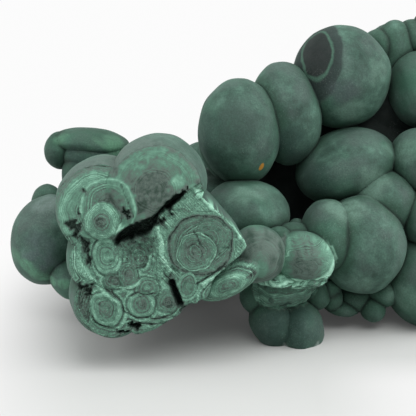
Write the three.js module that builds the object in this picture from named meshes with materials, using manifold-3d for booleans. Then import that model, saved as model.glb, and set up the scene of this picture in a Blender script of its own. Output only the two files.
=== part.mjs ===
// A botryoidal malachite specimen: one grown mass of rounded nodules, with a thick stalactitic
// trunk at its left front whose end is broken across, and a short arm beside it. It is a single
// stone, so it is a single solid. Millimetres, +Z up; +X runs along the specimen from the trunk to
// the heaped nodules, and the broken face looks towards -Y.
import * as THREE from "three";
import { mergeVertices } from "three/addons/utils/BufferGeometryUtils.js";
import Module from "manifold-3d";

// Driving dimensions, in the growth frame: its floor is z = 0 and its x = 0 lies beside the trunk.
const FACE_POINT = [-13, -27, 32]; // a point of the trunk's broken end
const FACE_LEAN = 10; // degrees that this end leans back
const SLAB_BACK = 2; // y where the slab between the trunk's lobes ends inside the stone
const SLAB_TAPER = 0.72; // its size there, as a share of its size in front
const CREVICE_DEPTH = 9;
const OUTLINE_STEPS = 30; // sides of a rounded outline
const WELD = 1e-4; // corners of a faceted shape closer than this are one corner
const REACH = 200; // larger than the stone, for the blocks that cut it
const SLIVER = 0.52; // joining leaves edges and bumps smaller than this, and they are merged
const RADIUS_PER_DETAIL = 7.6; // a nodule's sphere gets one more division for each of these, in mm
const LEAST_DETAIL = 1;
const MOST_DETAIL = 3;

// Nodules: centre, half sizes, and where they are tilted, degrees about X, Y and Z.
const TRUNK = [
  [[-27, -16, 40.5], [11.3, 24, 11.3]], // left lobe
  [[-12.8, -14, 45.2], [12.6, 24, 11.8]], // crown
  [[-24.5, -15, 17.5], [11.2, 22, 11.2]], // heel
  [[-28, -15, 27.5], [8.2, 20, 9]], // flank between them
];
// Outlines on the broken end, x and z: the slab that fuses the lobes, with its broken underside,
// and the crevice between the crown and the rest.
const SLAB = [
  [-4.6, 46.6], [-0.6, 45.6], [10.8, 34], [9, 29.4], [2.6, 24.2], [0.6, 19.2],
  [-2, 17.2], [-18.5, 8.6], [-27, 20], [-22, 40],
];
const CREVICE = [
  [-5.5, 45.5], [-12, 40.8], [-24.3, 33.4], [-21.8, 32.1], [-12.6, 34.8], [-10.5, 38.8],
];
const ARM = [
  [[6, -18, 22.4], [10.5, 10.2, 4.7], [0, -33, 0]], // bridge from the slab
  [[12.6, -15, 26.6], [7.4, 10, 7.2]], // root
  [[24.8, -9.5, 23.8], [8.6, 9.5, 7], [0, 12, 0]], // tip
  [[17.2, -12, 19.6], [6, 7, 2.2], [0, 6, 0]], // ledges torn off under them
  [[25.2, -11.5, 18.9], [6.2, 6.5, 1.9], [0, -6, 0]],
  [[18.5, -7, 26.6], [4.6, 6, 5]],
  [[22.5, -2, 26], [6.6, 6, 5.4]],
  [[24.3, 4, 28.4], [2.6, 3, 2.6]],
  [[29, -1, 27], [4.4, 5, 3.6]],
];
const FOOT = [
  [[20, -4, 15.5], [9.4, 9, 7.4], [0, -12, 0]], // shell under the arm
  [[12.5, -5, 13], [4.2, 5, 6.2]],
  [[24.6, -5.5, 2.8], [6.8, 8.6, 8]], // the foot that stands on the floor
  [[17.6, -5.5, 5.2], [6.2, 8, 8.2], [0, -22, 0]],
  [[29.4, -2, 11], [3.6, 4.4, 4.2]],
  [[34, 1, 9.5], [3, 4, 3.6]],
  [[33, 0, 12], [3, 3, 3]],
  [[36.5, 3, 6.2], [5.4, 5, 2.3], [0, 15, 0]],
];
const LEFT = [
  [[-45.5, 17, 21.5], [10.6, 13, 13], [0, 14, 0]], // bulb
  [[-37.5, 11, 12.5], [7.5, 9, 6.4], [0, 30, 0]],
  [[-47, 27, 29.5], [4.6, 6, 6]],
  [[-34.4, 35, 46.4], [11.2, 10, 3.9], [0, 6, 0]], // cap on its stem
  [[-33.5, 33, 43], [10.5, 8, 5.8]],
  [[-43.6, 34, 44], [4.6, 6.4, 5.6]],
  [[-37.6, 31, 37.5], [5.4, 6, 8.5]],
];
const FRONT = [
  [[8.8, 14, 53], [11.3, 13, 14.8], [0, -4, 0]],
  [[8.6, 20, 50], [11.2, 11, 13.5], [0, -4, 0]],
  [[22, 22, 57], [10, 13, 14.6], [0, -10, 0]],
  [[38, 28, 66.5], [14, 14, 14.5]],
  [[54, 38, 72.5], [6.4, 8, 9.4], [0, 6, 0]],
  [[65, 40, 75.5], [6.4, 9, 9.4]],
  [[49.6, 37, 73.6], [5.4, 7, 5.8]],
  [[59.8, 40, 76], [5, 8, 6]],
  [[60.5, 30, 63], [9, 12, 11]],
  [[39, 20, 42.5], [14.4, 16, 10], [0, -22, 0]],
  [[60, 18, 44], [9.5, 12, 9.6]],
  [[48.5, 12, 33.5], [9.5, 12, 9.5], [0, 25, 0]],
  [[42, 4, 23.8], [12.2, 14.5, 13.5]],
  [[32.8, 3, 26.6], [8.2, 13.2, 9.8]],
  [[59, 9, 30], [6, 10, 7.4]],
  [[60.5, 8, 12.5], [11.5, 14, 13.2]],
  [[10.5, 6, 32.5], [12, 14, 8.6], [0, 4, 0]],
  [[45.6, 3, 5.6], [3.6, 5, 3.7]],
  [[48.5, 5, 10], [4.6, 6, 4.4]],
  [[41, 5, 8], [5, 5, 4]],
];
const RIGHT = [
  [[79, 14, 12.4], [12, 13, 13]],
  [[77, 19, 34], [12, 12, 12]],
  [[74, 27, 56], [11, 12, 12]],
  [[71, 40, 72], [10, 12, 12]],
  [[89, 33, 14], [11, 12, 14]],
  [[86, 38, 37], [11, 13, 12]],
];
const BACK = [
  [[84, 50, 12.4], [12, 12, 13]],
  [[66, 57, 12], [12, 11, 12]],
  [[46, 59, 12.4], [12, 11, 13]],
  [[27, 55, 12], [10, 11, 12]],
  [[9, 48, 12], [11, 12, 12]],
  [[-9, 40, 12.4], [11, 11, 13]],
  [[-27, 29, 12], [10, 11, 12]],
  [[74, 55, 35], [13, 11, 12]],
  [[55, 60, 37], [12, 11, 13]],
  [[36, 57, 34], [11, 11, 12]],
  [[18, 51, 34], [11, 12, 12]],
  [[0, 43, 35], [11, 10, 10]],
  [[-17, 36, 33], [10, 10, 10]],
  [[-31, 30, 27], [9, 9, 9]],
  [[80, 43, 57], [10, 11, 11]],
  [[65, 53, 58], [12, 11, 12]],
  [[46, 53, 57], [12, 11, 12]],
  [[29, 46, 53], [11, 11, 12]],
  [[13, 36, 48], [11, 11, 11]],
  [[56, 47, 70], [10, 10, 10]],
  [[40, 41, 67], [10, 10, 10]],
];
const MIDDLE = [
  [[46, 37, 14], [35, 20, 13.4]],
  [[-18, 1, 30], [16, 17, 15]],
  [[45, 41, 32], [36, 18, 28]],
  [[56, 42, 56], [20, 13, 18]],
  [[-2, 22, 27], [22, 19, 14]],
  [[-25, 18, 26], [16, 14, 14]],
];

const wasm = await Module();
wasm.setup();

// A closed three.js geometry as a manifold-3d solid.
function solidOf(geometry) {
  const bare = geometry.index ? geometry.toNonIndexed() : geometry.clone();
  bare.deleteAttribute("normal");
  bare.deleteAttribute("uv");
  const merged = mergeVertices(bare, WELD);
  return new wasm.Manifold(
    new wasm.Mesh({
      numProp: 3,
      vertProperties: merged.attributes.position.array,
      triVerts: new Uint32Array(merged.index.array),
    }),
  );
}

// A sphere stretched to its half sizes, turned about its centre and set in place.
function nodule([centre, half, turn = [0, 0, 0]]) {
  const detail = THREE.MathUtils.clamp(
    Math.round(Math.max(...half) / RADIUS_PER_DETAIL),
    LEAST_DETAIL,
    MOST_DETAIL,
  );
  const geometry = new THREE.IcosahedronGeometry(1, detail);
  const place = new THREE.Matrix4().compose(
    new THREE.Vector3(...centre),
    new THREE.Quaternion().setFromEuler(
      new THREE.Euler(...turn.map(THREE.MathUtils.degToRad)),
    ),
    new THREE.Vector3(...half),
  );
  return solidOf(geometry.applyMatrix4(place));
}

// An outline in x and z, rounded and extruded along y from front to back, where it is tapered.
function prism(outline, front, back, taper = 1) {
  const corners = outline.map(([x, z]) => new THREE.Vector3(x, z, 0));
  const rounded = new THREE.CatmullRomCurve3(corners, true).getSpacedPoints(OUTLINE_STEPS);
  const middle = new THREE.Box3().setFromPoints(rounded).getCenter(new THREE.Vector3());
  const geometry = new THREE.ExtrudeGeometry(new THREE.Shape(rounded.slice(0, -1)), {
    depth: back - front,
    bevelEnabled: false,
  });
  const corner = geometry.attributes.position;
  for (let index = 0; index < corner.count; index += 1) {
    if (corner.getZ(index) === 0) {
      corner.setX(index, THREE.MathUtils.lerp(middle.x, corner.getX(index), taper));
      corner.setY(index, THREE.MathUtils.lerp(middle.y, corner.getY(index), taper));
    }
  }
  return solidOf(geometry.rotateX(Math.PI / 2).translate(0, back, 0));
}

// Solids joined into one.
function joined(solids) {
  return solids.reduce((whole, next) => whole.add(next));
}

// The half space on the far side of a plane, as a block that has the plane as its face. The block
// lies towards -Y before it is turned about X and then about Y.
function blockBeyond(point, turnX, turnY = 0) {
  const geometry = new THREE.BoxGeometry(REACH, REACH, REACH).translate(0, -REACH / 2, 0);
  const turn = new THREE.Euler(
    THREE.MathUtils.degToRad(turnX),
    THREE.MathUtils.degToRad(turnY),
    0,
    "YXZ",
  );
  return solidOf(
    geometry.applyMatrix4(new THREE.Matrix4().makeRotationFromEuler(turn)).translate(...point),
  );
}

// The largest outer body: what is sealed in between nodules is solid stone.
function withoutVoids(solid) {
  return solid
    .decompose()
    .filter((body) => body.volume() > 0)
    .sort((a, b) => b.volume() - a.volume())[0];
}

const faceBlock = blockBeyond(FACE_POINT, -FACE_LEAN);
const slab = prism(SLAB, 2 * FACE_POINT[1], SLAB_BACK, SLAB_TAPER);
const crevice = prism(CREVICE, 2 * FACE_POINT[1], FACE_POINT[1] + CREVICE_DEPTH);
const trunk = joined([...TRUNK.map(nodule), slab]).subtract(faceBlock).subtract(crevice);
const heap = joined([ARM, FOOT, LEFT, FRONT, RIGHT, BACK, MIDDLE].flat().map(nodule));
const floorBlock = solidOf(
  new THREE.BoxGeometry(2 * REACH, 2 * REACH, REACH).translate(0, 0, -REACH / 2),
);
const grown = trunk.add(heap).asOriginal().simplify(SLIVER);
const stone = withoutVoids(grown.subtract(floorBlock));

const mesh = stone.getMesh();
const geometry = new THREE.BufferGeometry()
  .setAttribute("position", new THREE.BufferAttribute(mesh.vertProperties, 3))
  .setIndex(new THREE.BufferAttribute(mesh.triVerts, 1));
geometry.computeBoundingBox();
const { min, max } = geometry.boundingBox;

const specimen = new THREE.Mesh(
  geometry,
  new THREE.MeshStandardMaterial({ color: 0x3f6d58, roughness: 0.85, metalness: 0 }),
);
specimen.name = "malachite_specimen";
specimen.position.set(-(min.x + max.x) / 2, -(min.y + max.y) / 2, -min.z);

const part = new THREE.Group();
part.add(specimen);
export default part;
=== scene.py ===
"""A botryoidal malachite specimen: velvety dark nodules grown into one stone, with a stalactitic
trunk whose broken end shows the pale rings that the mineral grew in, and a worn arm beside it."""
import math

import bmesh
import bpy
import numpy as np
from mathutils import Euler, Matrix, Vector, noise


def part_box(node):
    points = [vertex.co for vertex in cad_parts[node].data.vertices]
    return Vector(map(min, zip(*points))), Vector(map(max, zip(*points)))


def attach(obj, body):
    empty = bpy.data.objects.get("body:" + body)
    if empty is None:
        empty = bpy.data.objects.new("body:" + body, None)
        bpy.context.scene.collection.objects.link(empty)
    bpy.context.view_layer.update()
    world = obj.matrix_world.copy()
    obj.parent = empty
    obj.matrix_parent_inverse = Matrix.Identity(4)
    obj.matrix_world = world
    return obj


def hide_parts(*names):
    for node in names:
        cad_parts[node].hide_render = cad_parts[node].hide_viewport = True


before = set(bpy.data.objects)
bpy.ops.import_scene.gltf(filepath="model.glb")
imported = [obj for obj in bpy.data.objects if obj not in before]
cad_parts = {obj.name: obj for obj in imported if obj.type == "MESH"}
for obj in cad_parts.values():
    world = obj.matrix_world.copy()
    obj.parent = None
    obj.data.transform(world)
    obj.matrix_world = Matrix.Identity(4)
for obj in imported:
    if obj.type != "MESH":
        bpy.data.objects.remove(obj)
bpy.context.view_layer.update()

NODE = "malachite_specimen"

# The growth frame is in millimetres. Its floor is the level that the stone stands on, and its
# origin lies beside the trunk; GROWTH_MIDDLE is the point of it that the node's box is centred on.
MM = 0.001
GROWTH_MIDDLE = Vector((21.783, 19.946, 0.0))
FINE_SPHERE, COARSE_SPHERE = 5, 4  # icosphere subdivisions
SMALL_NODULE = 8.6  # half size up to which a nodule takes the coarser sphere
REACH = 60.0  # how far the solids that cut the stone reach beyond it

# Nodules: centre, half sizes, and where they are tilted, degrees about Y.
TRUNK = [
    ((-27, -16, 40.5), (11.3, 24, 11.3)),  # left lobe
    ((-12.8, -14, 45.2), (12.6, 24, 11.8)),  # crown
    ((-24.5, -15, 17.5), (11.2, 22, 11.2)),  # heel
    ((-28, -15, 27.5), (8.2, 20, 9)),  # flank between them
]
SLAB = [
    (-4.6, 46.6), (-0.6, 45.6), (10.8, 34), (9, 29.4), (2.6, 24.2), (0.6, 19.2),
    (-2, 17.2), (-18.5, 8.6), (-27, 20), (-22, 40),
]
SLAB_FRONT, SLAB_BACK = -45.0, 2.0
SLAB_TAPER = 0.72
BRIDGE = ((6, -18, 22.4), (10.5, 10.2, 4.7), -33)  # runs from the slab to the arm
ARM_ROOT = ((12.6, -15, 26.6), (7.4, 10, 7.2))
ARM_TIP = ((24.8, -9.5, 23.8), (8.6, 9.5, 7), 12)
LEDGES = [
    ((17.2, -12, 19.6), (6, 7, 2.2), 6),
    ((25.2, -11.5, 18.9), (6.2, 6.5, 1.9), -6),
]
SHELL = ((20, -4, 15.5), (9.4, 9, 7.4), -12)  # torn open under the arm
ARM_BUDS = [
    ((18.5, -7, 26.6), (4.6, 6, 5)), ((22.5, -2, 26), (6.6, 6, 5.4)),
    ((24.3, 4, 28.4), (2.6, 3, 2.6)), ((29, -1, 27), (4.4, 5, 3.6)),
]
FOOT = [
    ((12.5, -5, 13), (4.2, 5, 6.2)),
    ((24.6, -5.5, 2.8), (6.8, 8.6, 8)),  # the foot that stands on the floor
    ((17.6, -5.5, 5.2), (6.2, 8, 8.2), -22), ((29.4, -2, 11), (3.6, 4.4, 4.2)),
    ((34, 1, 9.5), (3, 4, 3.6)), ((33, 0, 12), (3, 3, 3)),
    ((36.5, 3, 6.2), (5.4, 5, 2.3), 15),  # ridge that runs back from the foot
]
LEFT = [
    ((-45.5, 17, 21.5), (10.6, 13, 13), 14),  # bulb
    ((-37.5, 11, 12.5), (7.5, 9, 6.4), 30),
    ((-47, 27, 29.5), (4.6, 6, 6)),  # bud on it
    ((-34.4, 35, 46.4), (11.2, 10, 3.9), 6),  # cap, in three parts, on its stem
    ((-33.5, 33, 43), (10.5, 8, 5.8)),
    ((-43.6, 34, 44), (4.6, 6.4, 5.6)),
    ((-37.6, 31, 37.5), (5.4, 6, 8.5)),
]
SCARRED = ((38, 28, 66.5), (14, 14, 14.5))  # the high nodule with the scar
FRONT = [
    ((8.8, 14, 53), (11.3, 13, 14.8), -4), ((8.6, 20, 50), (11.2, 11, 13.5), -4),
    ((22, 22, 57), (10, 13, 14.6), -10),
    SCARRED,
    ((54, 38, 72.5), (6.4, 8, 9.4), 6), ((65, 40, 75.5), (6.4, 9, 9.4)),
    ((49.6, 37, 73.6), (5.4, 7, 5.8)), ((59.8, 40, 76), (5, 8, 6)),
    ((60.5, 30, 63), (9, 12, 11)), ((39, 20, 42.5), (14.4, 16, 10), -22),
    ((60, 18, 44), (9.5, 12, 9.6)), ((48.5, 12, 33.5), (9.5, 12, 9.5), 25),
    ((42, 4, 23.8), (12.2, 14.5, 13.5)), ((32.8, 3, 26.6), (8.2, 13.2, 9.8)),
    ((59, 9, 30), (6, 10, 7.4)), ((60.5, 8, 12.5), (11.5, 14, 13.2)),
    ((10.5, 6, 32.5), (12, 14, 8.6), 4), ((45.6, 3, 5.6), (3.6, 5, 3.7)),
    ((48.5, 5, 10), (4.6, 6, 4.4)), ((41, 5, 8), (5, 5, 4)),
]
RIGHT = [
    ((79, 14, 12.4), (12, 13, 13)), ((77, 19, 34), (12, 12, 12)),
    ((74, 27, 56), (11, 12, 12)), ((71, 40, 72), (10, 12, 12)),
    ((89, 33, 14), (11, 12, 14)), ((86, 38, 37), (11, 13, 12)),
]
BACK = [
    ((84, 50, 12.4), (12, 12, 13)), ((66, 57, 12), (12, 11, 12)),
    ((46, 59, 12.4), (12, 11, 13)), ((27, 55, 12), (10, 11, 12)),
    ((9, 48, 12), (11, 12, 12)), ((-9, 40, 12.4), (11, 11, 13)),
    ((-27, 29, 12), (10, 11, 12)), ((74, 55, 35), (13, 11, 12)),
    ((55, 60, 37), (12, 11, 13)), ((36, 57, 34), (11, 11, 12)),
    ((18, 51, 34), (11, 12, 12)), ((0, 43, 35), (11, 10, 10)),
    ((-17, 36, 33), (10, 10, 10)), ((-31, 30, 27), (9, 9, 9)),
    ((80, 43, 57), (10, 11, 11)), ((65, 53, 58), (12, 11, 12)),
    ((46, 53, 57), (12, 11, 12)), ((29, 46, 53), (11, 11, 12)),
    ((13, 36, 48), (11, 11, 11)), ((56, 47, 70), (10, 10, 10)),
    ((40, 41, 67), (10, 10, 10)),
]
MIDDLE = [  # the masses that the nodules grew on
    ((46, 37, 14), (35, 20, 13.4)),
    ((-18, 1, 30), (16, 17, 15)),
    ((45, 41, 32), (36, 18, 28)),
    ((56, 42, 56), (20, 13, 18)),
    ((-2, 22, 27), (22, 19, 14)),
    ((-25, 18, 26), (16, 14, 14)),
]
TORN = [*LEDGES, SHELL]
ARM = [BRIDGE, ARM_ROOT, ARM_TIP, *ARM_BUDS]
OUTER = TORN + ARM + FOOT + LEFT + FRONT + RIGHT + BACK

# Lumps on a nodule: (how many to its half size, how high as a share of it).
LUMPS = ((1.3, 0.046), (3.1, 0.016))
TORN_LUMPS = ((1.6, 0.14), (3.6, 0.1), (8.0, 0.04))
FOOT_LUMPS = ((1.5, 0.07), (3.4, 0.03))
MIDDLE_LUMPS = ((2.6, 0.07), (6.0, 0.03))
LUMP_STEP = 1.73  # moves each nodule's lumps to a different place in the noise


# ---- The broken end of the trunk, and the worn and torn fronts beside it -----------------------

def made(result, kind):
    """The vertices or the edges among what a bmesh operator made."""
    return [part for part in result["geom"] if isinstance(part, kind)]


class Break:
    """A broken surface: a height in mm over a leaning plane, and the tones of its rings.

    A point of the plane is given by x and by the z that it has in the growth frame."""

    def __init__(self, point, lean, half, step, describe):
        self.point = np.array(point, float)
        self.cos = math.cos(math.radians(lean))
        sin = math.sin(math.radians(lean))
        self.up = np.array((0, sin, self.cos))
        self.out = np.array((0, -self.cos, sin))
        self.half = half
        self.step = step
        self.describe = describe

    def coordinates(self, places):
        """x, z on the plane, and height over the plane, of an array of places."""
        offset = places - self.point
        return places[:, 0], self.point[2] + offset @ self.up * self.cos, offset @ self.out

    def cutter(self):
        """A solid whose near side is the broken surface; it is as deep as REACH."""
        bm = bmesh.new()
        columns, rows = (round(2 * half / self.step) for half in self.half)
        bmesh.ops.create_grid(bm, x_segments=columns, y_segments=rows, size=1.0)
        flat = np.array([v.co for v in bm.verts])
        x = self.point[0] + flat[:, 0] * self.half[0]
        along = flat[:, 1] * self.half[1]
        height = self.describe(x, self.point[2] + along * self.cos)["height"]
        places = self.point + along[:, None] * self.up + height[:, None] * self.out
        places[:, 0] = x
        for vertex, place in zip(bm.verts, places):
            vertex.co = place
        rim = [edge for edge in bm.edges if edge.is_boundary]
        far = bmesh.ops.extrude_edge_only(bm, edges=rim)
        for vertex in made(far, bmesh.types.BMVert):
            vertex.co.y = self.point[1] - REACH
        outer = [edge for edge in made(far, bmesh.types.BMEdge) if edge.is_boundary]
        bmesh.ops.edgeloop_fill(bm, edges=outer)
        bmesh.ops.recalc_face_normals(bm, faces=bm.faces[:])
        return bm


def smooth(low, high, value):
    """0 below low, 1 above high, and a smooth step between them."""
    share = np.clip((value - low) / (high - low), 0, 1)
    return share * share * (3 - 2 * share)


def wander(x, z, size, seed):
    """Smooth noise from -1 to 1 over a plane, with features of this size in mm."""
    places = np.column_stack((x / size, z / size, np.full_like(x, seed)))
    return np.array([noise.noise(Vector(place)) for place in places]) * 1.6


def distance(x, z, centre):
    """Distance of places from a centre, given as x and z."""
    return np.hypot(x - centre[0], z - centre[1])


def stroke(x, z, points):
    """Distance outside a band through points (x, z, half width); negative inside it."""
    nearest = np.full_like(x, np.inf)
    for (x0, z0, w0), (x1, z1, w1) in zip(points, points[1:]):
        run = (x1 - x0, z1 - z0)
        share = ((x - x0) * run[0] + (z - z0) * run[1]) / (run[0] ** 2 + run[1] ** 2)
        share = np.clip(share, 0, 1)
        away = np.hypot(x - x0 - share * run[0], z - z0 - share * run[1])
        nearest = np.minimum(nearest, away - (w0 + share * (w1 - w0)))
    return nearest


# Rosettes: centre x and z, width over height, lean in degrees, how far it stands proud in mm, and
# its rings: distances from the centre in mm, and tones. Tone 0 is near black, 1 the palest mint.
ROSETTES = [
    # the large eye of the slab, and the two eyes inside it
    ((-1.9, 32.3), 1.1, 20, 0.0, (0, 4.6, 5.3, 5.9, 6.5, 7.1, 7.35, 7.7, 8.1, 8.5),
     (.38, .38, .34, .28, .34, .3, .08, .1, .42, .54)),
    ((1.0, 34.0), 1.0, 0, 0.0, (0, 1.2, 1.7, 2.3, 3.0, 3.7, 4.2, 4.7),
     (.26, .27, .38, .29, .36, .31, .38, .35)),
    ((-3.0, 30.6), 1.0, 0, 0.0, (0, 0.5, 0.9, 1.5, 2.0, 2.6, 3.3, 3.7, 4.1, 4.8, 5.2),
     (.14, .3, .14, .34, .22, .28, .26, .36, .45, .44, .37)),
    # the stub under the left lobe
    ((-26.0, 38.2), 1.0, 0, 1.3, (0, 1.3, 1.6, 1.9, 2.3, 2.6, 3.0, 3.3, 3.6, 3.9, 4.2, 4.6),
     (.14, .18, .38, .2, .48, .28, .68, .42, .8, .46, .7, .4)),
    # the green eye below it, and its neighbours down to the slot
    ((-24.8, 29.6), 0.82, 10, 0.6, (0, 1.4, 1.9, 2.5, 2.9, 3.3, 3.9, 4.2),
     (.5, .52, .34, .54, .42, .62, .56, .4)),
    ((-23.2, 23.6), 1.1, 0, 0.1, (0, 1.3, 1.8, 2.2, 2.6), (.2, .24, .4, .26, .58)),
    ((-19.7, 24.8), 0.85, 25, 0.1, (0, 1.3, 1.9, 2.5, 2.9), (.18, .24, .36, .28, .52)),
    ((-17.2, 29.3), 0.9, -20, -0.5, (0, 1.4, 2.2, 2.7), (.22, .3, .26, .4)),
    ((-25.1, 16.6), 0.85, 30, 0.4, (0, 1.2, 1.7, 2.3, 2.7, 3.2, 3.9, 4.3),
     (.24, .36, .24, .44, .34, .56, .6, .4)),
    ((-15.0, 21.9), 1.15, 0, 0.2, (0, 0.7, 1.1, 1.6, 2.1, 2.6, 2.9),
     (.44, .4, .28, .42, .28, .5, .4)),
    ((-16.5, 17.7), 1.05, 0, 0.2, (0, 0.9, 1.3, 1.8, 2.3, 2.7, 3.2, 3.5),
     (.14, .2, .42, .26, .48, .6, .56, .3)),
    ((-10.1, 18.4), 0.95, 0, 0.1, (0, 1.4, 1.9, 2.3, 2.7), (.12, .2, .42, .26, .5)),
    ((-5.1, 22.5), 0.8, -25, 0.0, (0, 1.1, 1.6, 2.2, 2.8), (.34, .38, .26, .48, .6)),
    # the long rosette under the slab's crack, which the lower edge cuts off
    ((5.1, 21.9), 2.2, 27, 0.1, (0, 1.2, 1.7, 2.1, 2.6, 3.3, 3.7, 4.1, 4.6, 5.0),
     (.3, .28, .42, .36, .6, .68, .44, .34, .5, .36)),
]
# The bands that wrap round the rosettes: distances outside the nearest one in mm, and tones.
WRAPPING = (
    (0, 0.15, 0.4, 0.8, 1.1, 1.4, 1.7, 2.2, 2.7, 3.3, 4.2, 6.0),
    (.28, .34, .58, .62, .42, .3, .5, .42, .32, .48, .38, .46))

# Pits: depth in mm, and the band that they follow, as (x, z, half width) in mm. The slot's sides
# are clean, and the others' are ragged. Cracks and seams follow bands too.
RAGGED, CLEAN = 1.0, 0.15
SLOT = [(-9.0, 23.1, .65), (-7.0, 18.0, .75)]
PITS = [
    # the crevice under the crown
    (7.0, [
        (-5.5, 45.5, .1), (-7.3, 44.2, .7), (-10.0, 42.0, .75), (-11.9, 40.5, .25),
        (-12.7, 39.6, .25), (-13.8, 37.9, 1.1), (-15.6, 36.6, 1.8), (-18.4, 35.7, 1.6),
        (-21.1, 34.3, 1.3), (-22.9, 32.9, .5)]),
    # the channel, the pocket above it and the one beside the heel, all on the left
    (1.1, [(-31.6, 34.4, .3), (-30.0, 32.3, .5), (-29.3, 28.9, .4), (-28.9, 26.6, .2)]),
    (1.4, [(-34.6, 37.5, .5), (-33.2, 37.2, 1.2), (-31.8, 36.6, .7), (-32.4, 35.2, .5)]),
    (1.4, [(-32.0, 22.6, .4), (-29.8, 22.0, .9), (-29.4, 20.6, .5)]),
    (6.0, SLOT),
    # small holes along the lower edge, beside the crevice and on the left lobe
    (3.0, [(-19.3, 13.0, .3), (-17.5, 12.5, .7)]),
    (2.0, [(-21.5, 11.2, .4), (-19.5, 10.9, .4)]),
    (2.6, [(-6.0, 16.5, .5), (-3.3, 17.2, .8), (-0.9, 18.4, .3)]),
    (1.6, [(-11.7, 38.5, .4), (-11.3, 38.2, .4)]),
    (1.4, [(-9.4, 40.4, .3), (-9.0, 39.8, .3)]),
    (1.4, [(-20.7, 41.0, .4), (-19.9, 40.3, .6), (-19.6, 39.4, .3)]),
    (1.0, [(-31.7, 41.0, .2), (-31.3, 40.2, .3)]),
    (0.8, [(-30.6, 45.9, .2), (-30.1, 45.2, .3)]),
    (1.5, [(10.0, 24.3, .3), (11.6, 24.8, .4)]),
]

# Cracks and the dark lines between growths: how dark, and the band that each follows.
CRACKS = [
    # in the pocket beside the heel: a wide band of painted shade under the flank, and a crack along its
    # right side
    (.45, [(-30.9, 20.8, 1.1), (-31.0, 17.4, .9), (-30.6, 14.6, .3)]),
    (.8, [(-29.2, 21.0, .1), (-29.8, 17.0, .12), (-30.0, 13.6, .08)]),
    # under the large eye, at the slab's top, and in the eye
    (.85, [(11.0, 32.0, .1), (7.4, 29.2, .09), (2.5, 26.2, .1), (-1.5, 23.7, .07),
           (-3.0, 23.0, .03)]),
    (.7, [(-3.4, 44.3, .06), (-2.2, 45.2, .09), (-1.0, 45.4, .07)]),
    (.6, [(-3.8, 35.6, .02), (-2.7, 34.4, .06), (-1.0, 31.8, .02)]),
    # round the rosettes of the lower half, and up to the left lobe
    (.75, [(-23.9, 21.0, .08), (-21.5, 18.2, .12), (-20.8, 16.0, .12), (-18.5, 14.7, .1),
           (-13.2, 14.2, .1), (-9.6, 14.8, .1), (-7.2, 17.0, .06)]),
    (.65, [(-20.1, 14.0, .06), (-15.0, 12.9, .09), (-9.4, 13.6, .09), (-5.4, 15.9, .04)]),
    (.7, [(-29.8, 16.1, .05), (-28.3, 13.6, .12), (-25.5, 11.7, .14), (-22.5, 11.5, .08)]),
    (.8, [(-18.7, 20.1, .04), (-17.3, 21.0, .1), (-15.6, 19.6, .12), (-12.9, 20.6, .05)]),
    (.55, [(-11.3, 26.3, .04), (-9.6, 24.1, .12), (-8.6, 25.4, .05)]),
    (.6, [(-28.5, 23.5, .05), (-25.1, 21.2, .1), (-22.8, 19.1, .05)]),
    (.3, [(-21.4, 47.0, .03), (-18.8, 41.5, .05), (-18.1, 38.3, .02)]),
]

# Pale seams: how far they stand proud in mm, their tone, and the band that they follow.
SEAMS = [
    (0.3, .6, [(-32.7, 30.0, .8), (-31.6, 27.0, 1.1), (-29.5, 24.7, .6)]),
    (0.3, .52, [(-32.7, 28.9, .1), (-31.7, 26.8, .3)]),
    (0.4, .68, [(-28.9, 24.5, .4), (-25.7, 20.6, .45), (-21.5, 17.6, .4)]),
    (0.2, .74, [(-12.4, 36.9, .4), (-11.4, 32.1, .5), (-11.1, 28.9, .5), (-9.6, 27.0, .4)]),
    (0.15, .8, [(-1.1, 23.0, .3), (3.9, 26.0, .35), (10.4, 30.6, .3)]),
    (0.1, .72, [(-20.9, 13.6, .3), (-14.0, 12.4, .3), (-7.5, 14.5, .3), (-1.3, 17.7, .3)]),
    (0.1, .66, [(-24.5, 12.0, .2), (-17.9, 10.7, .3), (-10.0, 12.6, .3), (-3.5, 15.7, .2)]),
    (0.4, .86, [(-22.6, 34.8, .2), (-21.5, 36.2, .25), (-21.1, 37.3, .15)]),
    (0.2, .7, [(-23.9, 21.8, .1), (-19.5, 22.0, .3), (-17.0, 23.3, .2)]),
]

# The domes of the break and the heel under them: their centres, and the outline that they make.
LEFT_LOBE, CROWN, HEEL, FLANK = (-26.8, 40.2), (-13.0, 45.6), (-24.5, 17.5), (-28.0, 27.5)
OUTLINE = [(LEFT_LOBE, 11.0), (CROWN, 12.1), (HEEL, 10.8), (FLANK, 8.0)]
CROWN_BORDER = 12.0  # the crown lies over the left lobe as far as this
LOBE_DOME, CROWN_DOME = (1.6, 11.3), (2.2, 12.1)  # height and radius in mm
CREVICE_PLACE, CREVICE_SLOPE = (-10.3, 41.7), 0.7  # the line that divides the crown from the rest
SLAB_CORNER, SLAB_SIDE = (-0.4, 45.8), (11.6, 11.4)  # the slab's bright side, and which way it faces
LOBE_RINGS = (
    (0, 3.5, 5.6, 6.2, 6.6, 7.2, 7.7, 8.2, 8.8, 9.3, 9.9, 10.3, 11.6),
    (.38, .38, .42, .44, .48, .42, .48, .48, .62, .48, .44, .39, .42))
INNER_LOBE = (-24.4, 41.7)
INNER_RINGS = (
    (0, 2.2, 3.4, 4.2, 5.0, 5.7, 6.3, 6.7, 7.1),
    (.18, .22, .36, .33, .44, .4, .46, .66, .44))
CROWN_RINGS = (
    (0, 4.6, 6.2, 7.4, 8.6, 9.6, 10.1, 10.6, 11.4, 12.4),
    (.2, .23, .28, .31, .37, .4, .35, .27, .28, .3))
# Lighter and darker places on the crown: centre, radius in mm and tone.
CROWN_PATCHES = [
    ((-7.6, 47.8), 2.6, .6), ((-16.8, 50.9), 2.4, .4), ((-18.5, 43.1), 2.0, .4),
    ((-10.6, 52.8), 2.2, .38), ((-16.6, 41.8), 2.8, .12), ((-12.5, 43.5), 2.2, .2),
]


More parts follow.
